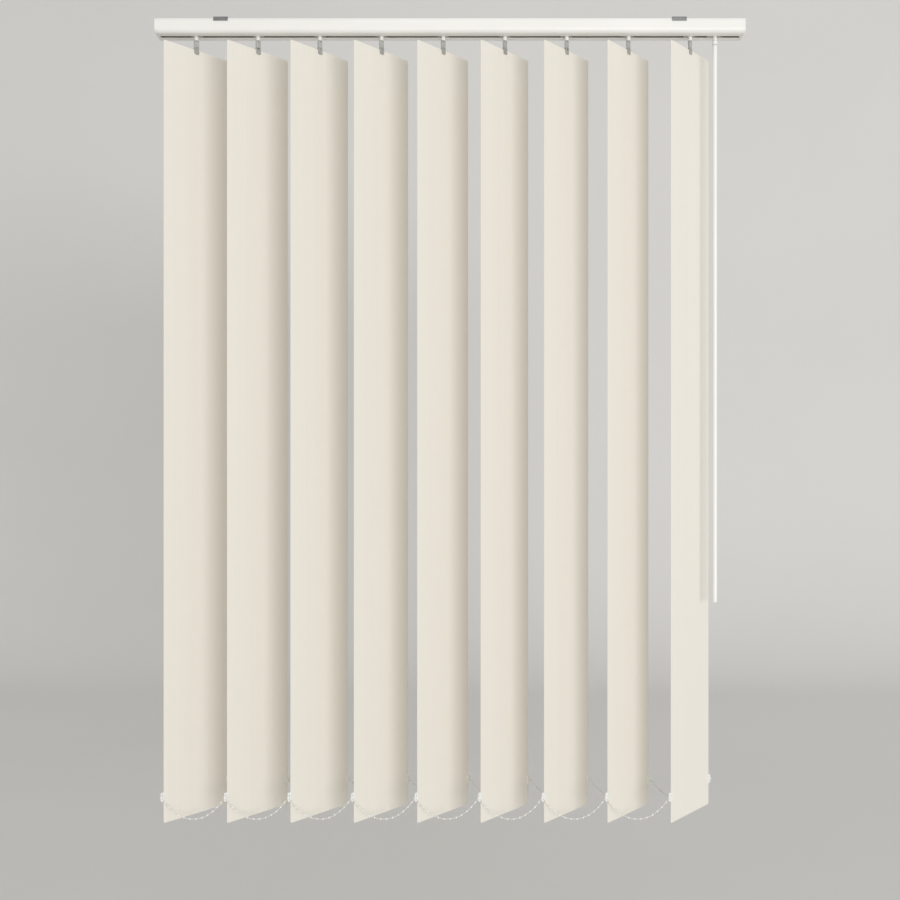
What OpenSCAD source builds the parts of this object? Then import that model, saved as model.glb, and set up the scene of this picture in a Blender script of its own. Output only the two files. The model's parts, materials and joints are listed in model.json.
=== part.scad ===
// Vertical blind: slats hung from a slotted headrail, turned and drawn by a wand.
// X runs along the headrail, Y away from the room, Z up. The origin lies on the
// bracket tops, midway along the headrail and above its slot.

/* [Vanes] */
// Number of vanes
vane_count = 9; // [3:1:9]
// Width of a vane
vane_w = 127; // [89:1:127]
// Length of a vane
vane_l = 1360; // [1200:10:2200]
// Thickness of a vane
vane_t = 1; // [0.6:0.1:1.2]
// Radius of a vane's corners
vane_corner_r = 3; // [1:0.5:10]
// Distance from one stem to the next
vane_pitch = 110; // [80:1:118]
// Turn of the vanes from closed, as drawn
vane_tilt = 45; // [8:1:172]
// Drop from the headrail's underside to the vanes' top edge
vane_drop = 23.5; // [20:0.5:40]
// Width of the hook hole in a vane
hole_w = 8; // [7:0.5:12]
// Height of the hook hole in a vane
hole_h = 4; // [3.5:0.5:6]
// Radius of the hook hole's corners
hole_corner_r = 1; // [0.5:0.1:1.5]
// Strip of vane above the hook hole
hole_margin = 3; // [2:0.5:6]

/* [Headrail] */
// Depth of the headrail, front to back
rail_d = 41; // [40:1:50]
// Height of the headrail
rail_h = 24; // [24:0.5:32]
// Wall of the headrail
rail_wall = 1.3; // [1:0.1:1.6]
// Radius of the headrail's lower corners
rail_corner_r = 8; // [3:0.5:8]
// Width of the slot under the headrail
slot_w = 8; // [8:0.2:10]
// Step of the lips that the brackets grip
lip_out = 0.6; // [0.4:0.1:1.2]
// Height of those lips
lip_h = 2.4; // [1.6:0.2:4]
// Room from the left end of the headrail to the first stem
first_inset = 64; // [60:1:120]
// Room from the wand to the right end of the headrail
last_inset = 44; // [30:1:120]
// Thickness of an end cap's plate
cap_t = 5; // [3:0.5:8]
// Length of an end cap's plug inside the headrail
plug_l = 10; // [6:1:20]
// Wall of that plug
plug_wall = 2; // [1.5:0.5:3]

/* [Brackets] */
// Length of a bracket along the headrail
bracket_l = 25; // [16:1:40]
// Thickness of a bracket's steel
bracket_t = 1.5; // [1:0.1:2]
// Room for the screw head between bracket and headrail
bracket_room = 1.5; // [1:0.1:3]
// Reach of a bracket's claw below the lip
claw_h = 1.6; // [1:0.2:3]
// Width of the pads that rest on the headrail's top
pad_w = 4; // [2:0.5:8]
// Distance from those pads to the headrail's side
pad_inset = 2; // [1:0.5:4]
// Radius of the screw hole
screw_r = 2.25; // [1.5:0.05:3]
// Distance from a bracket's middle to the headrail's end
bracket_inset = 112; // [40:1:200]

/* [Carriers] */
// Length of a carrier along the headrail
carrier_l = 20; // [18:1:22]
// Length of the wand's carrier
wand_carrier_l = 26; // [20:1:30]
// Outer radius of the neck that passes through the slot
neck_r = 3.7; // [3.4:0.1:3.7]
// Length of the neck below the headrail
neck_drop = 7; // [4:0.5:10]
// Radius of a stem's shaft
stem_r = 2.4; // [1.8:0.1:2.5]
// Radius of a stem's gear
gear_r = 5.7; // [4.5:0.1:6]
// Height of a stem's gear
gear_h = 5; // [3:0.5:6]
// Thickness of a spacer strip
strip_t = 0.5; // [0.3:0.1:0.6]
// Height of a spacer strip
strip_h = 3.5; // [2:0.5:4]
// Distance from one strip's lane to the next
lane_pitch = 1.4; // [1.3:0.1:1.5]

/* [Tilt drive] */
// Corner radius of the six-sided tilt rod
rod_r = 3.2; // [2.5:0.1:3.4]
// Radius of the rod's round ends
journal_r = 2.5; // [1.5:0.1:2.7]
// Length of the rod's round ends
journal_l = 12; // [8:1:14]
// Radius of a worm on the rod
worm_r = 4.5; // [4:0.1:5]
// Length of a worm
worm_l = 12; // [6:1:13]

/* [Hooks] */
// Width of a hook, seen from the room
hook_w = 9.5; // [6:0.5:10]
// Thickness of a hook, across the vane
hook_t = 4; // [4:0.1:4.8]
// Reach of a hook below the vane's top edge
hook_reach = 7.7; // [7:0.1:12]
// Width of the peg that carries the vane
peg_w = 5.5; // [3:0.5:6.5]
// Height of that peg
peg_h = 3; // [2:0.25:3.25]

/* [Chains] */
// Height of a chain clip's middle above the vane's bottom edge
clip_rise = 46; // [20:1:80]
// Height of a chain clip
clip_h = 16; // [12:0.5:24]
// Thickness of a chain clip
clip_t = 2.8; // [2.2:0.1:3.2]
// Radius of a chain clip's corners
clip_corner_r = 2.5; // [1:0.5:2.5]
// Grip of a chain clip on the vane
clip_grip = 3.5; // [3:0.5:10]
// Distance from the vane's edge to the clip's round post
post_out = 4.5; // [4.5:0.5:12]
// Radius of that post
post_r = 1.2; // [0.8:0.1:1.4]
// Thickness of a clip's bars above and below the post
clip_bar = 3; // [2:0.5:5]
// Radius of a chain bead
bead_r = 1.7; // [1:0.1:2]
// Distance from bead to bead along the chain
bead_pitch = 10.7; // [10:0.1:14]
// Bead spacings between two vanes
bead_gaps = 13; // [12:1:20]
// Radius of the chain's cord
chain_cord_r = 0.45; // [0.4:0.05:0.6]
// Wall of the chain's eyelets
eyelet_wall = 1; // [0.8:0.1:1.2]
// Height of the chain's eyelets
eyelet_h = 2.4; // [1.6:0.2:4]

/* [Wand] */
// Distance from the last stem to the wand
wand_offset = 44; // [40:1:60]
// Radius of the wand
wand_r = 3.8; // [3:0.1:4]
// Length of the wand, tip and all
wand_l = 993; // [400:1:1200]
// Length of the wand's tip above its round end
tip_wall_l = 2.5; // [1.5:0.5:8]
// Width and depth of the fine groove above that tip
tip_groove = 0.6; // [0.3:0.1:1]
// Radius of the ball that the wand swings on
ball_r = 2.9; // [2.4:0.1:3]
// Wall of the cup round the ball
cup_wall = 1; // [0.8:0.1:1.4]
// Radius of the wand's swivel pin
swivel_r = 2; // [1.5:0.1:2]
// Length of that pin inside the wand
swivel_l = 6; // [4:0.5:12]

/* [Fits] */
// Gap round a turning shaft
shaft_gap = 0.06; // [0.03:0.01:0.1]
// Gap beside a part that slides or turns past another
run_gap = 0.3; // [0.2:0.05:0.4]
// Gap between hook and vane
vane_gap = 0.2; // [0.1:0.05:0.3]
// Gap round a plug pushed in for good
plug_gap = 0.15; // [0.1:0.05:0.2]

/* [Hidden] */
$fn = 48;

numbers = [1:vane_count];
function numbered(name) = [for (i = numbers) str(name, "_", i)];

// How far a cut runs past what it cuts
cut = 1;

// Levels down from the bracket tops
rail_l = first_inset + (vane_count - 1) * vane_pitch + wand_offset + last_inset;
rail_top = -bracket_t - bracket_room;
rail_bottom = rail_top - rail_h;
floor_z = rail_bottom + rail_wall;
neck_bottom = rail_bottom - neck_drop;
vane_top = rail_bottom - vane_drop;
clip_z = vane_top - vane_l + clip_rise;
half_d = rail_d / 2;

// Carrier: a wide upper block on two runners that stay on the flat of the flanges
side_room = 2.2;
foot_room = 0.5;
top_room = 3.7;
carrier_w = rail_d - 2 * (rail_wall + side_room);
foot_w = rail_d - 2 * (rail_corner_r + foot_room);
foot_top = rail_bottom + rail_corner_r;
carrier_bottom = floor_z + run_gap;
carrier_top = rail_top - rail_wall - top_room;
wall = 1;

// Gear train: rod and worms behind the stems, on one level with the gears
rod_y = gear_r + worm_r + run_gap;
gear_rise = 4;
gear_bottom = foot_top + gear_rise;
rod_z = gear_bottom + gear_h / 2;
wand_gear_r = (rod_y - run_gap) / 2;
pocket_gap = 0.4;
seat_gap = 0.2;
end_play = 1;

// Strips run in lanes along the front of the carriers, so that they pass when stacked
lane_count = 6;
groove_play = 0.1;
strip_sink = 1.7;
strip_lift = 0.8;
groove_y = -carrier_w / 2 + wall;
groove_w = lane_count * lane_pitch + 2 * groove_play;
lane_first = groove_y + groove_play + lane_pitch / 2;
lane_z = carrier_top - strip_sink - strip_h;
groove_z = lane_z - strip_lift;
rib_w = 1.8;
rib_l = 3;

// Chain hung as a catenary between posts: its parameter a solves a * asinh(length / a) = span
half_bay = vane_pitch / 2;
half_chain = bead_gaps * bead_pitch / 2;
post_u = vane_w / 2 + post_out;
eyelet_r = post_r + run_gap;
function asinh(x) = ln(x + sqrt(x * x + 1));
function catenary(low, high, steps = 40) =
    let (a = (low + high) / 2)
    steps == 0 ? a
    : a * asinh(half_chain / a) < half_bay ? catenary(a, high, steps - 1)
    : catenary(low, a, steps - 1);
chain_a = catenary(1, 100 * half_bay);
function chain_z(s) = sqrt(chain_a * chain_a + s * s);
function chain_point(k) =
    let (s = (k - bead_gaps / 2) * bead_pitch)
    [chain_a * asinh(s / chain_a), 0, chain_z(s) - chain_z(half_chain)];

// Wand under its carrier
wand_x = stem_x(vane_count) + wand_offset;
cup_r = ball_r + run_gap + cup_wall;
cup_hold = 2;
ball_z = neck_bottom - run_gap - cup_wall - ball_r - run_gap;
cup_bottom = ball_z - cup_hold;
joint_neck_r = 1.3;
wand_hang = 4;
wand_top = ball_z - wand_hang;
pin_head_h = 1.8;
pin_head_out = 0.4;
pin_head_z = wand_top - swivel_l - pin_head_h;
wand_bottom = wand_top - wand_l;
tip_l = wand_r + tip_wall_l;
spigot_l = 5.5;
rod_bottom = wand_bottom + tip_l;

function stem_x(i) = -rail_l / 2 + first_inset + (i - 1) * vane_pitch;
function lane_y(i) = lane_first + lane_pitch * (i % lane_count);

module at_stem(i) {
    translate([stem_x(i), 0, 0])
        children();
}

module turned(i) {
    at_stem(i)
        rotate([0, 0, vane_tilt])
            children();
}

module at_wand() {
    translate([wand_x, 0, 0])
        children();
}

// A block given by its low and high corners
module block(low, high) {
    translate(low)
        cube(high - low);
}

module rounded_square(w, h, r) {
    square([w - 2 * r, h], center = true);
    square([w, h - 2 * r], center = true);
    for (x = [-1, 1], y = [-1, 1])
        translate([x * (w / 2 - r), y * (h / 2 - r)])
            circle(r);
}

// Section across the rail, drawn as X = depth and Y = height, then laid along X
module along_rail(length) {
    rotate([90, 0, 90])
        linear_extrude(height = length, center = true)
            children();
}

// Section of a box with round lower corners, inset from the rail's outside
module rail_section(inset) {
    r = rail_corner_r - inset;
    w = rail_d - 2 * inset;
    low = rail_bottom + inset;
    high = rail_top - inset;
    translate([-w / 2, low + r])
        square([w, high - low - r]);
    translate([r - w / 2, low])
        square([w - 2 * r, r]);
    for (side = [-1, 1])
        translate([side * (w / 2 - r), low + r])
            circle(r);
}

module rail_outside() {
    rail_section(0);
    translate([-half_d - lip_out, rail_top - lip_h])
        square([rail_d + 2 * lip_out, lip_h]);
}

module headrail() {
    color("whitesmoke")
        along_rail(rail_l)
            difference() {
                rail_outside();
                rail_section(rail_wall);
                translate([-slot_w / 2, rail_bottom - cut])
                    square([slot_w, rail_wall + 2 * cut]);
            }
}

// Moulded cap: a plate that closes the rail and a hollow plug with the rod's bearing
module end_cap(side) {
    plug_face = rail_l / 2 - plug_l;
    bearing_l = journal_l + end_play;
    color("white")
        mirror([side < 0 ? 1 : 0, 0, 0])
            difference() {
                union() {
                    translate([(rail_l + cap_t) / 2, 0, 0])
                        along_rail(cap_t)
                            rail_outside();
                    difference() {
                        translate([rail_l / 2 - plug_l / 2, 0, 0])
                            along_rail(plug_l)
                                rail_section(rail_wall + plug_gap);
                        translate([rail_l / 2 - plug_l / 2 - cut, 0, 0])
                            along_rail(plug_l)
                                rail_section(rail_wall + plug_gap + plug_wall);
                    }
                    translate([plug_face, rod_y, rod_z])
                        rotate([0, 90, 0])
                            cylinder(r = journal_r + 2 * plug_wall, h = plug_l);
                }
                translate([plug_face - cut, rod_y, rod_z])
                    rotate([0, 90, 0])
                        cylinder(r = journal_r + shaft_gap, h = bearing_l + cut);
            }
}

// Bent steel clip over the rail: claws under both lips, pads on the top face
module bracket(side) {
    inner = half_d + lip_out;
    outer = inner + bracket_t;
    lip_bottom = rail_top - lip_h;
    color("darkgray")
        translate([side * (rail_l / 2 - bracket_inset), 0, 0])
            difference() {
                union() {
                    block([-bracket_l / 2, -outer, -bracket_t], [bracket_l / 2, outer, 0]);
                    for (hand = [0, 1])
                        mirror([0, hand, 0]) {
                            block([-bracket_l / 2, inner, lip_bottom - claw_h],
                                  [bracket_l / 2, outer, 0]);
                            block([-bracket_l / 2, half_d, lip_bottom - claw_h],
                                  [bracket_l / 2, outer, lip_bottom]);
                            block([-bracket_l / 2, half_d - pad_inset - pad_w, rail_top],
                                  [bracket_l / 2, half_d - pad_inset, 0]);
                        }
                }
                translate([0, 0, -bracket_t - cut])
                    cylinder(r = screw_r, h = bracket_t + 2 * cut);
            }
}

module tilt_rod() {
    hex_l = rail_l - 2 * (plug_l + end_play);
    color("silver")
        translate([0, rod_y, rod_z])
            rotate([0, 90, 0]) {
                cylinder(r = rod_r, h = hex_l, center = true, $fn = 6);
                cylinder(r = journal_r, h = hex_l + 2 * journal_l, center = true);
            }
}

// Housing shared by vane carriers and the wand's carrier, with its gear pockets
module housing(length, gear, worm) {
    half_l = length / 2;
    half_w = carrier_w / 2;
    bite = worm_l / 2 + run_gap;
    difference() {
        union() {
            block([-half_l, -half_w, foot_top], [half_l, half_w, carrier_top]);
            for (side = [0, 1])
                mirror([0, side, 0])
                    block([-half_l, slot_w / 2, carrier_bottom], [half_l, foot_w / 2, foot_top]);
            translate([0, 0, neck_bottom])
                cylinder(r = neck_r, h = foot_top - neck_bottom + wall);
        }
        translate([0, 0, neck_bottom - cut])
            cylinder(r = stem_r + shaft_gap, h = rail_h + neck_drop);
        translate([0, 0, gear_bottom - seat_gap])
            cylinder(r = gear + pocket_gap, h = rail_h);
        translate([0, rod_y, rod_z])
            rotate([0, 90, 0]) {
                cylinder(r = rod_r + run_gap, h = length + 2 * cut, center = true);
                cylinder(r = worm + run_gap, h = 2 * bite, center = true);
            }
        block([-bite, rod_y - worm - run_gap, rod_z], [bite, rod_y + worm + run_gap, carrier_top + cut]);
        block([-half_l - cut, groove_y, groove_z], [half_l + cut, groove_y + groove_w, carrier_top + cut]);
    }
}

// Carrier with its spacer strip, which reaches through the groove of the next one
module carrier(i) {
    reach = i < vane_count ? vane_pitch : wand_offset;
    root = -carrier_l / 2 + wall;
    color("gainsboro")
        at_stem(i) {
            housing(carrier_l, gear_r, worm_r);
            translate([0, lane_y(i), 0]) {
                block([root, -rib_w / 2, groove_z], [root + rib_l, rib_w / 2, lane_z + strip_h]);
                block([root, -strip_t / 2, lane_z], [reach - root, strip_t / 2, lane_z + strip_h]);
            }
        }
}

// Sleeve that slides on the rod and turns with it
module sleeve(r) {
    translate([0, rod_y, rod_z])
        rotate([0, 90, 0])
            difference() {
                cylinder(r = r, h = worm_l, center = true);
                cylinder(r = rod_r + plug_gap, h = worm_l + 2 * cut, center = true, $fn = 6);
            }
}

module worm(i) {
    color("dimgray")
        at_stem(i)
            sleeve(worm_r);
}

// Gear on a shaft that hangs down through the carrier's neck
module geared_shaft(gear) {
    translate([0, 0, gear_bottom])
        cylinder(r = gear, h = gear_h);
    translate([0, 0, neck_bottom - run_gap - wall])
        cylinder(r = stem_r, h = gear_bottom - neck_bottom + run_gap + 2 * wall);
}

// Stem: shaft above, hook below with a leg on each face of the vane and a peg through it
module stem(i) {
    slit = vane_t / 2 + vane_gap;
    slit_room = 1.5;
    corner_cut = 0.4;
    hook_top = neck_bottom - run_gap;
    hook_bottom = vane_top - hook_reach;
    peg_top = vane_top - hole_margin;
    color("gray")
        turned(i) {
            geared_shaft(gear_r);
            difference() {
                intersection() {
                    block([-hook_w / 2, -hook_t / 2, hook_bottom], [hook_w / 2, hook_t / 2, hook_top]);
                    translate([0, 0, hook_bottom - cut])
                        cylinder(d = hook_w + corner_cut, h = hook_top - hook_bottom + 2 * cut);
                }
                block([-hook_w, -slit, hook_bottom - cut], [hook_w, slit, vane_top + slit_room]);
            }
            block([-peg_w / 2, run_gap - slit, peg_top - peg_h], [peg_w / 2, slit, peg_top]);
        }
}

module vane(i) {
    color("antiquewhite")
        turned(i)
            translate([0, 0, vane_top - vane_l / 2])
                rotate([90, 0, 0])
                    linear_extrude(height = vane_t, center = true)
                        difference() {
                            rounded_square(vane_w, vane_l, vane_corner_r);
                            translate([0, vane_l / 2 - hole_margin - hole_h / 2])
                                rounded_square(hole_w, hole_h, hole_corner_r);
                        }
}

// Clip on a vane's edge: cheeks on both faces and a ring closed by a round post
module chain_clip() {
    window_room = 1;
    post_sink = 0.5;
    inside = vane_w / 2 - clip_grip;
    outside = post_u + post_r;
    window_in = post_u - eyelet_r - eyelet_wall - window_room;
    window_h = clip_h - 2 * clip_bar;
    difference() {
        translate([(inside + outside) / 2, 0, clip_z])
            rotate([90, 0, 0])
                linear_extrude(height = clip_t, center = true)
                    rounded_square(outside - inside, clip_h, clip_corner_r);
        block([0, -vane_t / 2, clip_z - clip_h], [vane_w / 2, vane_t / 2, clip_z + clip_h]);
        block([window_in, -clip_t, clip_z - window_h / 2], [outside + cut, clip_t, clip_z + window_h / 2]);
    }
    translate([post_u, 0, clip_z])
        cylinder(r = post_r, h = window_h + 2 * post_sink, center = true);
}

module chain_clips(i) {
    color("white")
        turned(i)
            for (edge = [0, 180])
                rotate([0, 0, edge])
                    chain_clip();
}

// Straight run of cord between two points of a bay
module link(from, to) {
    run = to - from;
    translate(from)
        rotate([0, atan2(run.x, run.z), 0])
            cylinder(r = chain_cord_r, h = norm(run));
}

module eyelet() {
    difference() {
        cylinder(r = eyelet_r + eyelet_wall, h = eyelet_h, center = true);
        cylinder(r = eyelet_r, h = eyelet_h + 2 * cut, center = true);
    }
}

// Beads and cord of one bay, from the wall of one eyelet to the wall of the next.
// Each bead is turned so that its poles face the room, clear of the cord.
module chain_bay() {
    start = eyelet_r + eyelet_wall / 2;
    ends = [[start - half_bay, 0, 0], [half_bay - start, 0, 0]];
    beads = [for (k = [1:bead_gaps - 1]) chain_point(k)];
    points = concat([ends[0]], beads, [ends[1]]);
    for (p = beads)
        translate(p)
            rotate([90, 0, 0])
                rotate([0, 0, 90])
                    sphere(bead_r);
    for (k = [1:bead_gaps])
        link(points[k - 1], points[k]);
}

// One chain joins all the posts on one side of the vanes
module chain(side) {
    color("white")
        translate([side * post_u * cos(vane_tilt), side * post_u * sin(vane_tilt), clip_z]) {
            for (i = numbers)
                at_stem(i)
                    eyelet();
            for (i = [1:vane_count - 1])
                at_stem(i)
                    translate([half_bay, 0, 0])
                        chain_bay();
        }
}

module wand_carrier() {
    color("gainsboro")
        at_wand()
            housing(wand_carrier_l, wand_gear_r, wand_gear_r);
}

module wand_pinion() {
    color("dimgray")
        at_wand()
            sleeve(wand_gear_r);
}

// Gear that the wand turns, with a cup below the neck for the wand's ball
module wand_gear() {
    color("white")
        at_wand()
            difference() {
                union() {
                    geared_shaft(wand_gear_r);
                    translate([0, 0, cup_bottom])
                        cylinder(r = cup_r, h = neck_bottom - run_gap - cup_bottom);
                }
                translate([0, 0, ball_z])
                    sphere(ball_r + run_gap);
            }
}

// Ball held in the cup, with a swivel pin that the wand hangs and turns on
module wand_joint() {
    color("white")
        at_wand() {
            translate([0, 0, ball_z])
                sphere(ball_r);
            translate([0, 0, wand_top])
                cylinder(r = joint_neck_r, h = ball_z - wand_top);
            translate([0, 0, pin_head_z])
                cylinder(r = swivel_r, h = swivel_l + pin_head_h);
            translate([0, 0, pin_head_z])
                cylinder(r = swivel_r + pin_head_out, h = pin_head_h);
        }
}

module wand_rod() {
    color("white")
        at_wand()
            difference() {
                translate([0, 0, rod_bottom])
                    cylinder(r = wand_r, h = wand_top - rod_bottom);
                translate([0, 0, pin_head_z - run_gap])
                    cylinder(r = swivel_r + shaft_gap, h = swivel_l + 2 * pin_head_h);
                translate([0, 0, pin_head_z - run_gap])
                    cylinder(r = swivel_r + pin_head_out + run_gap, h = pin_head_h + run_gap + seat_gap);
                translate([0, 0, rod_bottom - cut])
                    cylinder(r = swivel_r, h = spigot_l + end_play + cut);
            }
}

// Tip with a half-round end, a fine groove and a spigot in the wand
module wand_tip() {
    color("white")
        at_wand()
            translate([0, 0, wand_bottom + wand_r]) {
                intersection() {
                    sphere(wand_r);
                    translate([0, 0, -wand_r])
                        cylinder(r = wand_r, h = wand_r);
                }
                cylinder(r = wand_r, h = tip_wall_l - tip_groove);
                cylinder(r = wand_r - tip_groove, h = tip_wall_l);
                cylinder(r = swivel_r, h = tip_wall_l + spigot_l);
            }
}

headrail();
end_cap(-1);  // end_cap_left
end_cap(1);  // end_cap_right
bracket(-1);  // bracket_left
bracket(1);  // bracket_right
tilt_rod();
for (i = numbers) {
    carrier(i);
    worm(i);
    stem(i);
    vane(i);
    chain_clips(i);
}
chain(-1);  // front_chain
chain(1);  // rear_chain
wand_carrier();
wand_pinion();
wand_gear();
wand_joint();
wand_rod();
wand_tip();
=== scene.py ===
import json
import math

import bpy
import numpy as np
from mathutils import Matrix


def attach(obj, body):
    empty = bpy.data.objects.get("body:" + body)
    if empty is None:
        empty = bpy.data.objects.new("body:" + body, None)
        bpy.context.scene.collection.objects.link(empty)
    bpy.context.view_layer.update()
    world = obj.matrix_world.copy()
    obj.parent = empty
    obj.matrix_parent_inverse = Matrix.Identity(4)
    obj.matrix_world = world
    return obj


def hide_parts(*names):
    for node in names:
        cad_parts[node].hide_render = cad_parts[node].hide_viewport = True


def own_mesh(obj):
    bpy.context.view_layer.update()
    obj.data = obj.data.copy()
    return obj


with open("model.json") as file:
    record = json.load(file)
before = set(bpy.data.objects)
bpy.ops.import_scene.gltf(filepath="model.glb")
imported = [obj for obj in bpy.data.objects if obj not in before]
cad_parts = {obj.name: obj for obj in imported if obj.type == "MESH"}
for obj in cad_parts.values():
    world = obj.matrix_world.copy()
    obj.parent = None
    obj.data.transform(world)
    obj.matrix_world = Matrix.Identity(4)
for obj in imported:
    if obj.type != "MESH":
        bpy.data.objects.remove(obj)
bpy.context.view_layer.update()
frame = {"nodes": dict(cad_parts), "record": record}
mm = 0.001
row = {"count": 9, "pitch": 110, "first": -452, "wand": 472, "clips": -1364.5}  # vanes, and places in mm
row |= {"tilt": 45, "stacked": 24}  # turn from closed in degrees, and mm between stems when drawn
stemX = row["first"] + row["pitch"] * np.arange(row["count"])
tilt = math.radians(row["tilt"])
chord = np.array([math.cos(tilt), math.sin(tilt), 0])  # across a vane, left to right
facing = np.array([math.sin(tilt), -math.cos(tilt), 0])  # out of its room-side face
up = np.array([0, 0, 1.0])
alongX = np.array([[0, 1, 0], [0, 0, 1], [1, 0, 0]])  # outline in Y and Z, carried along X
alongZ = np.eye(3)  # outline in X and Y, carried up
vaneAxes = np.array([chord, up, facing])  # outline on the vane's face, carried out of it
hookAxes = np.array([chord, -facing, up])  # outline across the hook, carried up
sharpEdge = math.radians(42)  # edges that turn more than this stay sharp
nearPole = 1  # degrees short of the axis, where a small cap closes a turned shape


def linear(code):  # sRGB hex to the linear values that shaders take
    srgb = np.array([int(code[i : i + 2], 16) for i in (0, 2, 4)]) / 255
    rgb = np.where(srgb <= 0.04045, srgb / 12.92, ((srgb + 0.055) / 1.055) ** 2.4)
    return (*rgb.tolist(), 1.0)


def addNode(tree, kind, inputs, **settings):  # inputs are linked when they are sockets, else set
    made = tree.nodes.new("ShaderNode" + kind)
    for key, value in settings.items():
        setattr(made, key, value)
    for key, value in inputs.items():
        if isinstance(value, bpy.types.NodeSocket):
            tree.links.new(value, made.inputs[key])
        else:
            made.inputs[key].default_value = value
    return made


def grainedMaterial(name, look):
    # Two noises of a real size in mm: drift runs between two colours, grit sets the gloss and a fine relief.
    # Both are stretched to the full range, because most of a noise lies between 0.3 and 0.7.
    material = bpy.data.materials.new(name)
    material.use_nodes = True
    tree = material.node_tree
    surface = tree.nodes["Principled BSDF"]
    for socket, value in look.get("shader", {}).items():
        surface.inputs[socket].default_value = value
    place = addNode(tree, "TexCoord", {}).outputs["Object"]
    turn = (0, 0, look.get("turn", 0))
    spread = {}
    for part in ("drift", "grit"):
        scale = [1 / (size * mm) for size in look[part]]
        turned = addNode(tree, "Mapping", {"Vector": place, "Rotation": turn, "Scale": scale})
        noise = addNode(tree, "TexNoise", {"Vector": turned.outputs[0], "Scale": 1.0, "Detail": 3.0})
        even = addNode(tree, "MapRange", {"Value": noise.outputs[0], "From Min": 0.3, "From Max": 0.7})
        spread[part] = even.outputs[0]
    dark, light = (linear(code) for code in look["colours"])
    colour = addNode(tree, "Mix", {0: spread["drift"], 6: dark, 7: light}, data_type="RGBA")
    smooth, rough = look["rough"]
    gloss = addNode(tree, "MapRange", {"Value": spread["grit"], "To Min": smooth, "To Max": rough})
    bump = addNode(tree, "Bump", {"Height": spread["grit"], "Distance": look["relief"] * mm})
    tree.links.new(colour.outputs[2], surface.inputs["Base Color"])
    tree.links.new(gloss.outputs[0], surface.inputs["Roughness"])
    tree.links.new(bump.outputs[0], surface.inputs["Normal"])
    return material


def roundCorners(corners, radii, steps=6):
    # Each corner becomes an arc that touches both sides: its middle lies on the bisector at radius / sin(half
    # the angle), and its points swing evenly from one side's outward normal to the other's.
    corner, radius = np.array(corners, float), np.array(radii, float)[:, None]
    back, on = np.roll(corner, 1, 0) - corner, np.roll(corner, -1, 0) - corner
    back /= np.linalg.norm(back, axis=1, keepdims=True)
    on /= np.linalg.norm(on, axis=1, keepdims=True)
    half = np.arccos(np.clip((back * on).sum(1), -1, 1))[:, None] / 2
    bisector = back + on
    bisector /= np.linalg.norm(bisector, axis=1, keepdims=True)
    middle = corner + bisector * radius / np.sin(half)
    start, end = np.arctan2(back[:, 0], -back[:, 1]), np.arctan2(-on[:, 0], on[:, 1])
    swing = (end - start + math.pi) % (2 * math.pi) - math.pi
    angle = start[:, None] + swing[:, None] * np.linspace(0, 1, steps + 1)
    normal = np.stack([np.cos(angle), np.sin(angle)], -1)
    point = middle[:, None] + np.sign(swing)[:, None, None] * radius[:, None] * normal
    return point.reshape(-1, 2), normal.reshape(-1, 2)


def roundRect(low, high, radius, steps=6):  # rounded rectangle from its low and high corners
    (x0, y0), (x1, y1) = low, high
    return roundCorners([(x0, y0), (x1, y0), (x1, y1), (x0, y1)], [radius] * 4, steps)


def edgeRows(low, high, softLow, softHigh, steps=4):
    # Rows of (inset, height) from low to high, with a quarter circle at each end: the inset is r (1 - sin)
    # and the height r (1 - cos) of a turn that grows away from that end.
    turn = np.linspace(0, math.pi / 2, steps + 1)
    first = np.stack([softLow * (1 - np.sin(turn)), low + softLow * (1 - np.cos(turn))], -1)
    last = np.stack([softHigh * (1 - np.cos(turn)), high - softHigh * (1 - np.sin(turn))], -1)
    return np.concatenate([first if softLow else first[-1:], last if softHigh else last[:1]])


def straightRows(low, high):  # rows of (inset, height) for a plain cut at both ends
    return np.array([[0, low], [0, high]])


def raised(flat, rows):  # a grid of flat points, each row at its own height
    height = np.broadcast_to(rows[:, None, 1:], (*flat.shape[:2], 1))
    return np.concatenate([flat, height], -1)


def loft(outline, rows):
    # The outline is drawn in along its normals by each row's inset and carried to that row's height.
    point, normal = outline
    return raised(point[None] - normal[None] * rows[:, None, :1], rows)


def revolve(rows, sides=32):
    # Each row of (radius, height) becomes a circle round the Z axis.
    turn = np.arange(sides) * 2 * math.pi / sides
    radius, height = np.array(rows, float).T[:, :, None]
    return np.stack([radius * np.cos(turn), radius * np.sin(turn), height + 0 * turn], -1)


def shell(grid, axes=alongZ, origin=(0, 0, 0), ring=False, wears=0):
    # Skin over a grid whose columns close on themselves. Its rows close too for a ring, else both ends are
    # capped.
    rows, columns = grid.shape[:2]
    index = np.arange(rows * columns).reshape(rows, columns)
    low = index if ring else index[:-1]
    high = np.roll(index, -1, 0) if ring else index[1:]
    quads = np.stack([low, np.roll(low, -1, 1), np.roll(high, -1, 1), high], -1).reshape(-1, 4)
    caps = np.zeros((0, columns), int) if ring else np.stack([index[0, ::-1], index[-1]])
    return grid.reshape(-1, 3) @ axes + np.array(origin), quads, caps, wears


def copies(part, places):  # one shell repeated at several places
    points, quads, caps, wears = part
    step = len(points) * np.arange(len(places))[:, None, None]
    spread = (points[None] + np.array(places)[:, None]).reshape(-1, 3)
    allCaps = (caps[None] + step).reshape(-1, caps.shape[1])
    return spread, (quads[None] + step).reshape(-1, 4), allCaps, wears


def moved(shells, shift):  # the same shells at another place
    return [(points + shift, *rest) for points, *rest in shells]


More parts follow.
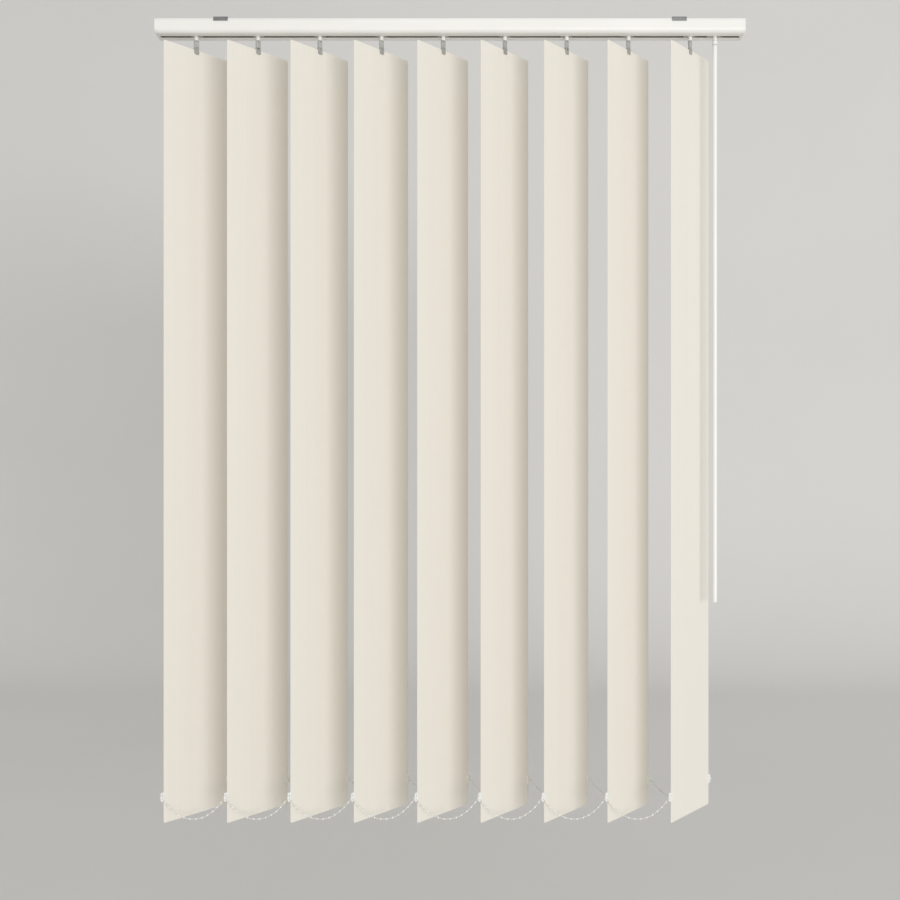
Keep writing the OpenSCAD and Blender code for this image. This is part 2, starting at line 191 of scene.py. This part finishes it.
def makePiece(name, shells, materials, body, node):
    # Joins shells into one finished piece in the frame; each shell says which of the materials it wears.
    starts = np.cumsum([0] + [len(part[0]) for part in shells])
    points = np.concatenate([part[0] for part in shells]) * mm
    quads = [part[1] + start for part, start in zip(shells, starts)]
    caps = [part[2] + start for part, start in zip(shells, starts)]
    wears = [np.full(len(faces), part[3]) for group in (quads, caps) for faces, part in zip(group, shells)]
    wears = np.concatenate(wears)
    mesh = bpy.data.meshes.new(name)
    mesh.from_pydata(points.tolist(), [], [face for faces in quads + caps for face in faces.tolist()])
    mesh.polygons.foreach_set("use_smooth", np.ones(len(wears), bool))
    mesh.set_sharp_from_angle(angle=sharpEdge)
    for material in materials:
        mesh.materials.append(material)
    mesh.polygons.foreach_set("material_index", wears)
    made = bpy.data.objects.new(name, mesh)
    bpy.context.scene.collection.objects.link(made)
    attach(made, body)
    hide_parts(node)
    return made


def evenNormals(made):  # large flat faces keep their own normal next to small round edges
    made.modifiers.new("even normals", "WEIGHTED_NORMAL").keep_sharp = True


print("camera and studio")
studio = {"eye": (0, -1.667, -0.7655), "lens": 37.4, "sensor": 36}  # metres, and mm of lens
studio |= {"rise": 1.4, "picture": 900}  # the picture's shift and width in pixels
studio |= {"floor": -1.64, "wall": 2.6, "bend": 0.9, "front": -3.2, "wide": 7, "high": 3, "fill": 0.6}
camera = bpy.data.cameras.new("camera")
camera.lens, camera.sensor_width = studio["lens"], studio["sensor"]
camera.shift_y = studio["rise"] / studio["picture"]
cameraAt = bpy.data.objects.new("camera", camera)
cameraAt.location, cameraAt.rotation_euler = studio["eye"], (math.pi / 2, 0, 0)
bpy.context.scene.collection.objects.link(cameraAt)
bpy.context.scene.camera = cameraAt
bpy.context.scene.view_settings.view_transform = "Standard"


def paperSweep(s, steps=24):
    # Path in Y and Z carried along X: floor, a quarter circle of the bend's radius, then wall.
    turn = np.linspace(0, math.pi / 2, steps + 1)
    bendY = s["wall"] - s["bend"] + s["bend"] * np.sin(turn)
    bendZ = s["floor"] + s["bend"] * (1 - np.cos(turn))
    pathY, pathZ = np.r_[s["front"], bendY, s["wall"]], np.r_[s["floor"], bendZ, s["high"]]
    side = np.array([-s["wide"], s["wide"]])[:, None]
    return np.stack([side + 0 * pathY, pathY + 0 * side, pathZ + 0 * side], -1)


# Matt studio paper: pale warm grey with no shine, so that it stays even behind the blind.
paperLook = {"colours": ("dfdedb", "e2e1de"), "drift": (900, 900, 900), "grit": (12, 12, 12)}
paperLook |= {"rough": (0.85, 0.95), "relief": 0.0}
paperGrid = paperSweep(studio)
paperIndex = np.arange(paperGrid[..., 0].size).reshape(paperGrid.shape[:2])
paperQuads = np.stack([paperIndex[0, :-1], paperIndex[1, :-1], paperIndex[1, 1:], paperIndex[0, 1:]], -1)
paperMesh = bpy.data.meshes.new("paper sweep")
paperMesh.from_pydata(paperGrid.reshape(-1, 3).tolist(), [], paperQuads.tolist())
paperMesh.polygons.foreach_set("use_smooth", [True] * len(paperMesh.polygons))
paperMesh.materials.append(grainedMaterial("matt studio paper", paperLook))
paper = bpy.data.objects.new("paper sweep", paperMesh)
bpy.context.scene.collection.objects.link(paper)

keyLamp = {"watts": 296, "size": (6, 2), "at": (3, -7, -0.5), "aim": (0, 0, -0.75)}  # wide, front right
keyLight = bpy.data.lights.new("key", "AREA")
keyLight.shape, keyLight.energy = "RECTANGLE", keyLamp["watts"]
keyLight.size, keyLight.size_y = keyLamp["size"]
key = bpy.data.objects.new("key", keyLight)
aim = np.array(keyLamp["aim"]) - np.array(keyLamp["at"])
key.location = keyLamp["at"]
key.rotation_euler = (math.acos(-aim[2] / np.linalg.norm(aim)), 0, math.atan2(-aim[0], aim[1]))
bpy.context.scene.collection.objects.link(key)
world = bpy.data.worlds.new("soft room")
world.use_nodes = True
world.node_tree.nodes["Background"].inputs[0].default_value = linear("ffffff")
world.node_tree.nodes["Background"].inputs[1].default_value = studio["fill"]
bpy.context.scene.world = world

print("bead chains")
chain = {"bead": 1.7, "cord": 0.5, "pitch": 10.7, "gaps": 13, "post": 68}
chain |= {"eyeIn": 1.5, "eyeOut": 2.5, "eyeHigh": 2.4, "eyeSoft": 0.35}

# Moulded PVC beads: milky white with a soft highlight, and light from behind glows through them.
beadLook = {"colours": ("f3f2ec", "f8f7f3"), "drift": (9, 9, 9), "grit": (2, 2, 2)}
beadLook |= {"rough": (0.42, 0.54), "relief": 0.01}
beadLook["shader"] = {"Subsurface Weight": 0.6, "Subsurface Radius": (1, 1, 0.9), "Subsurface Scale": 2 * mm}
beadMaterial = grainedMaterial("moulded PVC beads", beadLook)

# Braided polyester cord: greyer than the beads, no shine; the braid is drawn coarser than its 0.3 mm.
cordLook = {"colours": ("dedcd4", "eae8e1"), "drift": (1.2, 1.2, 1.2), "grit": (1, 1, 1)}
cordLook |= {"rough": (0.6, 0.8), "relief": 0.05}
cordMaterial = grainedMaterial("braided polyester cord", cordLook)


def catenary(s, bay, points):
    # Arc length t from a bay's middle gives x = a asinh(t / a) and z = sqrt(a a + t t), where a makes x reach
    # half the bay at half the chain's length; a is found by halving between 1 mm and 5 m.
    half = s["pitch"] * s["gaps"] / 2
    low, high = 1.0, 5000.0
    for _ in range(60):
        a = (low + high) / 2
        low, high = (a, high) if a * math.asinh(half / a) < bay / 2 else (low, a)
    drop = np.sqrt(a * a + points**2) - math.sqrt(a * a + half * half)
    return np.stack([a * np.arcsinh(points / a) + bay / 2, 0 * points, drop], -1)


def tube(path, radius, sides=8):
    # A circle carried along a path in the XZ plane: it spans the Y axis and the path's own normal there.
    ahead = np.gradient(path, axis=0)
    ahead /= np.linalg.norm(ahead, axis=1, keepdims=True)
    sideways = np.array([0, 1.0, 0])
    turn = (np.arange(sides) * 2 * math.pi / sides)[:, None]
    across = np.cross(ahead, sideways)[:, None]
    return path[:, None] + radius * (np.cos(turn) * across - np.sin(turn) * sideways)


def chainShells(s, bay):
    # Spheres at equal arc lengths on a catenary, a tube along it and a ring round each post.
    half = s["pitch"] * s["gaps"] / 2
    eyes = np.stack([stemX, 0 * stemX, 0 * stemX], -1)
    bays = eyes[:-1]
    centres = catenary(s, bay, s["pitch"] * (np.arange(1, s["gaps"]) - s["gaps"] / 2))
    tall = np.radians([-72, -45, -15, 15, 45, 72])  # latitudes of a bead's rings
    bead = shell(revolve(np.stack([s["bead"] * np.cos(tall), s["bead"] * np.sin(tall)], -1), 8))
    wall = (s["eyeIn"] + s["eyeOut"]) / 2
    line = catenary(s, bay, np.linspace(-half, half, 4 * s["gaps"] + 1))
    line[0], line[-1] = (wall, 0, 0), (bay - wall, 0, 0)
    cord = shell(tube(line, s["cord"]), wears=1)
    high = s["eyeHigh"] / 2
    rim = roundRect((s["eyeIn"], -high), (s["eyeOut"], high), s["eyeSoft"], 3)[0]
    eyelet = shell(revolve(rim, 16), ring=True)
    places = (bays[:, None] + centres).reshape(-1, 3)
    path = np.concatenate([(bays[:, None] + np.concatenate([0 * line[:1], line])).reshape(-1, 3), eyes[-1:]])
    return [copies(bead, places), copies(cord, bays), copies(eyelet, eyes)], path


for side, sign in (("front", -1), ("rear", 1)):
    parts, line = chainShells(chain, row["pitch"])
    shift = sign * chain["post"] * chord + row["clips"] * up
    made = makePiece(
        f"{side}_bead_chain",
        moved(parts, shift),
        [beadMaterial, cordMaterial],
        f"{side}_chain",
        f"{side}_chain",
    )
    line = (line + shift) * mm
    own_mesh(made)

print("headrail, end caps and brackets")
rail = {"half": 20.5, "lip": 21.1, "top": -3, "lipLow": -5.4, "low": -27, "wall": 1.3, "corner": 8}
rail |= {"slot": 4, "end": 516, "slotSoft": 0.3, "stepSoft": 0.2, "lipSoft": 0.25}
rail |= {"topSoft": 0.5, "insideSoft": 0.6}
cap = {"thick": 5, "soft": 0.7, "topSoft": 0.6}

# Extruded aluminium under powder coat: even satin white, the shine broken by orange peel, which is drawn
# coarser than its 1 mm.
railLook = {"colours": ("eeede8", "f5f4f0"), "drift": (260, 40, 40), "grit": (2.5, 2.5, 2.5)}
railLook |= {"rough": (0.34, 0.46), "relief": 0.02}
railLook["shader"] = {"Coat Weight": 0.15, "Coat Roughness": 0.25}
railMaterial = grainedMaterial("powder-coated extruded aluminium", railLook)

# Moulded ABS: the same white, a touch duller, with the fine sparked grain of the mould.
capLook = {"colours": ("ebeae4", "f3f2ed"), "drift": (18, 18, 18), "grit": (1.2, 1.2, 1.2)}
capLook |= {"rough": (0.42, 0.56), "relief": 0.03}
capMaterial = grainedMaterial("moulded ABS with sparked grain", capLook)


def railOutside(s):  # closed outline of the rail with its lips, in Y and Z
    right = [(s["half"], s["low"]), (s["half"], s["lipLow"]), (s["lip"], s["lipLow"]), (s["lip"], s["top"])]
    left = [(-y, z) for y, z in reversed(right)]
    return [left[-1], *right, *left[:-1]]


def lipRadii(s, topSoft):  # radii from the right lip over the top to the left lip
    right = [s["stepSoft"], s["lipSoft"], topSoft]
    return right + right[::-1]


def headrailShell(s):
    # Closed section of outside, slot edges and inside, carried straight along X.
    outside, inner = railOutside(s), s["half"] - s["wall"]
    floor, ceiling = s["low"] + s["wall"], s["top"] - s["wall"]
    inside = [(-inner, floor), (-inner, ceiling), (inner, ceiling), (inner, floor)]
    slot, soft, deep = s["slot"], s["slotSoft"], s["corner"] - s["wall"]
    corners = [(slot, s["low"]), *outside[1:], outside[0], (-slot, s["low"])]
    corners += [(-slot, floor), *inside, (slot, floor)]
    radii = [soft, s["corner"], *lipRadii(s, s["topSoft"]), s["corner"], soft]
    radii += [soft, deep, s["insideSoft"], s["insideSoft"], deep, soft]
    return shell(loft(roundCorners(corners, radii, 12), straightRows(-s["end"], s["end"])), alongX)


def endCapShell(s, c, side):
    # The rail's outline carried out along X; at the outer edge it shrinks towards its middle by r (1 - cos).
    radii = [s["corner"], s["corner"], *lipRadii(s, c["topSoft"])]
    point = roundCorners(railOutside(s), radii, 10)[0]
    rows = edgeRows(s["end"], s["end"] + c["thick"], 0, c["soft"], 6)
    middle = np.array([0, (s["top"] + s["low"]) / 2])
    reach = np.array([s["lip"], (s["top"] - s["low"]) / 2])
    grid = raised(middle + (point - middle) * (1 - rows[:, None, :1] / reach), rows)
    return shell(grid if side > 0 else (grid * [1, 1, -1])[::-1], alongX)


parts = [headrailShell(rail)]
evenNormals(makePiece("slotted_headrail", parts, [railMaterial], "headrail", "headrail"))
for name, side in (("left", -1), ("right", 1)):
    parts = [endCapShell(rail, cap, side)]
    evenNormals(makePiece(f"{name}_end_cap", parts, [capMaterial], "headrail", f"end_cap_{name}"))

bracket = {"x": 404, "long": 25, "thick": 1.5, "outer": 22.6, "claw": -7.0, "middle": 6, "hole": 2.25}
bracket |= {"bends": (1.5, 2, 0.01, 0.01, 0.5, 0.2, 0.4, 0.4)}  # from the claw's tip round the strip
bracket |= {"pad": (14.5, 18.5), "padTop": -1, "padIn": 2, "padCorner": 1.5, "padSoft": 0.6}
bracket |= {"corner": 0.05, "soft": 0.02, "holeSoft": 0.3}

# Pressed steel with zinc plate: dull cool grey, faintly mottled by the plating.
zincLook = {"colours": ("868788", "9a9b9b"), "drift": (3, 3, 3), "grit": (1.5, 1.5, 1.5)}
zincLook |= {"rough": (0.5, 0.66), "relief": 0.01, "shader": {"Metallic": 1.0}}
zincMaterial = grainedMaterial("zinc-plated pressed steel", zincLook)


def holedPlate(outer, hole, thick, softOuter, softHole):
    # A closed ring surface: out over one face, round the outer edge, back over the other face and through
    # the hole.
    rows = edgeRows(-thick / 2, thick / 2, softOuter, softOuter)
    back = edgeRows(-thick / 2, thick / 2, softHole, softHole)[::-1] * [-1, 1]
    return np.concatenate([loft(outer, rows), loft(hole, back)])


def bracketShells(s, r, side):
    # Two bent strips carried along X, a flat middle with the screw hole and two pressed pads.
    half, inner, at = s["long"] / 2, s["outer"] - s["thick"], np.array([side * s["x"], 0, 0])
    strip = [(s["outer"], s["claw"]), (s["outer"], 0), (s["middle"], 0), (s["middle"], -s["thick"])]
    strip += [(inner, -s["thick"]), (inner, r["lipLow"]), (r["half"], r["lipLow"]), (r["half"], s["claw"])]
    right = loft(roundCorners(strip, s["bends"]), straightRows(-half, half))
    plate = roundRect((-half, -s["middle"]), (half, s["middle"]), s["corner"])
    angle = np.arctan2(plate[0][:, 1], plate[0][:, 0])
    ray = np.stack([np.cos(angle), np.sin(angle)], -1)
    flat = holedPlate(plate, (s["hole"] * ray, ray), s["thick"], s["soft"], s["holeSoft"])
    padHalf, (padNear, padFar) = half - s["padIn"], s["pad"]
    padEdge = roundRect((-padHalf, padNear), (padHalf, padFar), s["padCorner"])
    pad = loft(padEdge, edgeRows(r["top"], s["padTop"], s["padSoft"], 0))
    spun = np.array([-1, -1, 1])  # half a turn about Z
    return [
        shell(right, alongX, at),
        shell(right, alongX * spun, at),
        shell(flat, alongZ, at - up * s["thick"] / 2, ring=True),
        shell(pad, alongZ, at),
        shell(pad, alongZ * spun, at),
    ]


for name, side in (("left", -1), ("right", 1)):
    parts = bracketShells(bracket, rail, side)
    evenNormals(makePiece(f"{name}_bracket", parts, [zincMaterial], "headrail", f"bracket_{name}"))

print("vanes, hooks and clips")
vane = {"half": 63.5, "top": -50.5, "low": -1410.5, "thick": 1.0, "corner": 3, "soft": 0.3}
vane |= {"hole": (4, -57.5, -53.5), "holeCorner": 1, "holeSoft": 0.2}  # hole's half width, low and top

# Extruded PVC, embossed matt: warm cream, hardly any shine. Drift gives the faint die lines that run down a
# vane, and the emboss is drawn coarser than its 0.4 mm so that it shows.
vaneLook = {"colours": ("e8e3d9", "eae5db"), "drift": (3.5, 60, 900), "grit": (2.2, 2.2, 2.2)}
vaneLook |= {"turn": -tilt, "rough": (0.52, 0.66), "relief": 0.02, "shader": {"Specular IOR Level": 0.35}}
vaneMaterial = grainedMaterial("extruded embossed PVC", vaneLook)


def vaneShell(s):
    # The holed plate between a rounded outline and the hook's rounded hole, with matching corners.
    half, (holeHalf, holeLow, holeTop) = s["half"], s["hole"]
    outer = roundRect((-half, s["low"]), (half, s["top"]), s["corner"])
    hole = roundRect((-holeHalf, holeLow), (holeHalf, holeTop), s["holeCorner"])
    return holedPlate(outer, hole, s["thick"], s["soft"], s["holeSoft"])


hook = {"half": 4.75, "deep": 2.0, "slit": 0.7, "top": -34.3, "slitTop": -49, "low": -58.2}
hook |= {"blockCorner": 1.7, "blockSoft": 0.9, "legCorner": 2.6, "legSoft": 0.6, "slitSoft": 0.2}
hook |= {"legInto": 3, "shaftInto": 1, "pegInto": 0.2}  # legs and shaft into the block, peg into the rear leg
hook |= {"peg": (2.75, -56.5, -53.5), "pegCorner": 0.9, "pegFront": 0.4}
hook |= {"shaft": 2.4, "gear": 5.7, "gearLow": -15, "gearTop": -10}

# Moulded smoky polycarbonate: grey, half clear, so what lies behind it tints it.
smokeLook = {"colours": ("cbcbc7", "d8d8d4"), "drift": (6, 6, 14), "grit": (3, 3, 3)}
smokeLook |= {"rough": (0.14, 0.24), "relief": 0.005}
smokeLook["shader"] = {"Transmission Weight": 0.5, "IOR": 1.58}
smokeMaterial = grainedMaterial("moulded smoky polycarbonate", smokeLook)


def hookShells(s):
    # A turned shaft and gear, a rounded block below the neck, a flat rounded leg on each face of the vane and
    # a peg between them.
    gear = [(s["gear"], s["gearLow"]), (s["gear"], s["gearTop"])]
    shaft = [(s["shaft"], s["top"] - s["shaftInto"]), (s["shaft"], s["gearLow"]), *gear]
    blockEdge = roundRect((-s["half"], -s["deep"]), (s["half"], s["deep"]), s["blockCorner"])
    block = loft(blockEdge, edgeRows(s["slitTop"], s["top"], 0, s["blockSoft"]))
    legEdge = roundRect((-s["half"], s["low"]), (s["half"], s["slitTop"] + s["legInto"]), s["legCorner"])
    front = loft(legEdge, edgeRows(s["slit"], s["deep"], s["slitSoft"], s["legSoft"]))
    rear = loft(legEdge, edgeRows(-s["deep"], -s["slit"], s["legSoft"], s["slitSoft"]))
    pegHalf, pegLow, pegTop = s["peg"]
    pegEdge = roundRect((-pegHalf, pegLow), (pegHalf, pegTop), s["pegCorner"])
    peg = loft(pegEdge, straightRows(-s["slit"] - s["pegInto"], s["pegFront"]))
    return [(revolve(shaft), alongZ), (block, hookAxes), (front, vaneAxes), (rear, vaneAxes), (peg, vaneAxes)]


clip = {"inner": 60, "bridge": 64.5, "cheek": 0.5, "thick": 1.4, "high": 8}
clip |= {"cheekCorner": 2.4, "cheekSoft": 0.5, "ring": (64.0, 68.0, 6.5), "ringCorner": 1.3}
clip |= {"bar": 1.4, "post": 1.2, "postIn": 0.5, "square": 0.7}  # a power below 1 squares the section

# Moulded acetal: bright white with a soft waxy sheen.
clipLook = {"colours": ("efeee8", "f6f5f1"), "drift": (5, 5, 5), "grit": (2, 2, 2)}
clipLook |= {"rough": (0.26, 0.38), "relief": 0.01}
clipLook["shader"] = {"Subsurface Weight": 0.12, "Subsurface Scale": 1 * mm}
clipMaterial = grainedMaterial("moulded acetal", clipLook)


def clipShells(s, hand, sides=16):
    # A rounded-square section carried round a rounded rectangle, thinner at the post, and a cheek on each
    # face. The section's width and depth are cos and sin to a power, with their signs kept.
    ringIn, ringOut, ringHigh = s["ring"]
    path, normal = roundRect((ringIn, -ringHigh), (ringOut, ringHigh), s["ringCorner"], 5)
    turn = np.arange(sides) * 2 * math.pi / sides
    wide = np.sign(np.cos(turn)) * np.abs(np.cos(turn)) ** s["square"]
    deep = np.sign(np.sin(turn)) * np.abs(np.sin(turn)) ** s["square"]
    size = np.where(path[:, :1] > ringOut - s["postIn"], s["post"], s["bar"])[:, :, None]
    flat = path[:, None] + normal[:, None] * size * wide[:, None]
    ring = np.concatenate([flat, -size * deep[:, None] + 0 * flat[..., :1]], -1)
    cheekEdge = roundRect((s["inner"], -s["high"]), (s["bridge"], s["high"]), s["cheekCorner"])
    front = loft(cheekEdge, edgeRows(s["cheek"], s["thick"], 0, s["cheekSoft"]))
    rear = loft(cheekEdge, edgeRows(-s["thick"], -s["cheek"], s["cheekSoft"], 0))
    axes = vaneAxes * [[hand], [1], [hand]]
    at = row["clips"] * up
    return [shell(ring, axes, at, True), shell(front, axes, at), shell(rear, axes, at)]


for i, x in enumerate(stemX, 1):
    at, body = np.array([x, 0, 0]), f"vane_{i}"
    parts = [shell(vaneShell(vane), vaneAxes, at, ring=True)]
    evenNormals(makePiece(f"slat_{i}", parts, [vaneMaterial], body, f"vane_{i}"))
    parts = [shell(grid, axes, at) for grid, axes in hookShells(hook)]
    evenNormals(makePiece(f"hook_{i}", parts, [smokeMaterial], body, f"stem_{i}"))
    parts = moved(clipShells(clip, -1) + clipShells(clip, 1), at)
    evenNormals(makePiece(f"clips_{i}", parts, [clipMaterial], body, f"chain_clips_{i}"))

print("wand")
wand = {"r": 3.8, "top": -42.5, "low": -1035.5, "topSoft": 0.7, "lowSoft": 0.2}
wand |= {"tip": 6.3, "groove": 0.6, "grooveSoft": 0.2, "bore": 2.1, "boreDeep": 3}
wand |= {"pin": 2.0, "pinDeep": 2.5, "pinTop": 0.1, "neck": 1.3, "ball": 2.9, "ballZ": -38.5}
wand |= {"cup": 4.2, "cupLow": -40.5, "cupTop": -34.3, "cavity": 3.2, "footSoft": 0.6, "cupSoft": 0.8}
wand |= {"shaft": 2.4, "gear": 5.1, "gearLow": -15, "gearTop": -10}

# Extruded PVC rod: even satin white with faint draw lines along it.
wandLook = {"colours": ("efeee9", "f6f5f1"), "drift": (1.5, 1.5, 120), "grit": (1.5, 1.5, 60)}
wandLook |= {"rough": (0.42, 0.54), "relief": 0.005}
wandMaterial = grainedMaterial("extruded satin PVC", wandLook)


def arcRows(middle, radius, start, end, steps=10):
    # Rows of (radius, height) on an arc: out by r sin and down by r cos of the degrees from its foot.
    turn = np.radians(np.linspace(start, end, steps + 1))
    return np.stack([middle[0] + radius * np.sin(turn), middle[1] - radius * np.cos(turn)], -1).tolist()


def cupRows(s):  # up from inside the cup, over its rim, up its wall, then shaft and gear
    foot, soft = s["footSoft"], s["cupSoft"]
    rimAngle = math.degrees(math.acos((s["ballZ"] - s["cupLow"]) / s["cavity"]))
    cavity = arcRows((0, s["ballZ"]), s["cavity"], 180 - nearPole, rimAngle)
    rim = arcRows((s["cup"] - foot, s["cupLow"] + foot), foot, 0, 90, 4)
    shoulder = arcRows((s["cup"] - soft, s["cupTop"] - soft), soft, 90, 180, 4)
    shaft = [(s["shaft"], s["cupTop"]), (s["shaft"], s["gearLow"])]
    return cavity + rim + shoulder + shaft + [(s["gear"], s["gearLow"]), (s["gear"], s["gearTop"])]


def rodRows(s):  # plain rod with softened ends and a bore for the swivel pin
    r, top, low, soft = s["r"], s["top"], s["low"] + s["tip"], s["lowSoft"]
    shoulder = arcRows((r - s["topSoft"], top - s["topSoft"]), s["topSoft"], 90, 180, 4)
    return [(r - soft, low), (r, low + soft), *shoulder, (s["bore"], top), (s["bore"], top - s["boreDeep"])]


def tipRows(s):  # half ball, short wall and a fine groove under the rod
    r, top, groove, soft = s["r"], s["low"] + s["tip"], s["groove"], s["grooveSoft"]
    wall = [(r, top - groove - soft), (r - soft, top - groove), (r - groove, top - groove), (r - groove, top)]
    return arcRows((0, s["low"] + r), r, nearPole, 90) + wall


def ballRows(s):  # swivel pin, thin neck and ball
    neckAngle = math.degrees(math.asin(s["neck"] / s["ball"]))
    pin = [(s["pin"], s["top"] - s["pinDeep"]), (s["pin"], s["top"] - s["pinTop"]), (s["neck"], s["top"])]
    return pin + arcRows((0, s["ballZ"]), s["ball"], neckAngle, 180 - nearPole, 14)


for name, rows, body, node in (
    ("cup_of_wand", cupRows(wand), "wand_gear", "wand_gear"),
    ("ball_of_wand", ballRows(wand), "wand_swing", "wand_joint"),
    ("rod_of_wand", rodRows(wand), "wand", "wand_rod"),
    ("tip_of_wand", tipRows(wand), "wand", "wand_tip"),
):
    parts = [shell(revolve(rows), alongZ, (row["wand"], 0, 0))]
    evenNormals(makePiece(name, parts, [wandMaterial], body, node))

print("carriers and tilt drive")

# Moulded acetal of the carriers: white, with painted shade greying it below the other white acetal, for the
# shade of the slot.
carrierLook = {"colours": ("e4e3de", "eeede9"), "drift": (7, 7, 7), "grit": (2, 2, 2)}
carrierLook |= {"rough": (0.34, 0.46), "relief": 0.01}

# Moulded nylon of the worms and the pinion: dark grey and dull.
nylonLook = {"colours": ("494a4d", "55565a"), "drift": (4, 4, 4), "grit": (1.5, 1.5, 1.5)}
nylonLook |= {"rough": (0.45, 0.6), "relief": 0.01}

# Drawn aluminium of the tilt rod: bright, with fine lines along it.
rodLook = {"colours": ("b4b5b8", "c9cacc"), "drift": (240, 0.9, 0.9), "grit": (240, 0.9, 0.9)}
rodLook |= {"rough": (0.24, 0.4), "relief": 0.01, "shader": {"Metallic": 1.0}}

driveMaterials = {
    "carrier": grainedMaterial("moulded acetal of the carriers", carrierLook),
    "gear": grainedMaterial("moulded grey nylon", nylonLook),
    "rod": grainedMaterial("drawn aluminium", rodLook),
}
for part in frame["record"]["subparts"]:
    if part["material_slot"] in driveMaterials:
        inside = frame["nodes"][part["node"]].data
        inside.materials.clear()
        inside.materials.append(driveMaterials[part["material_slot"]])
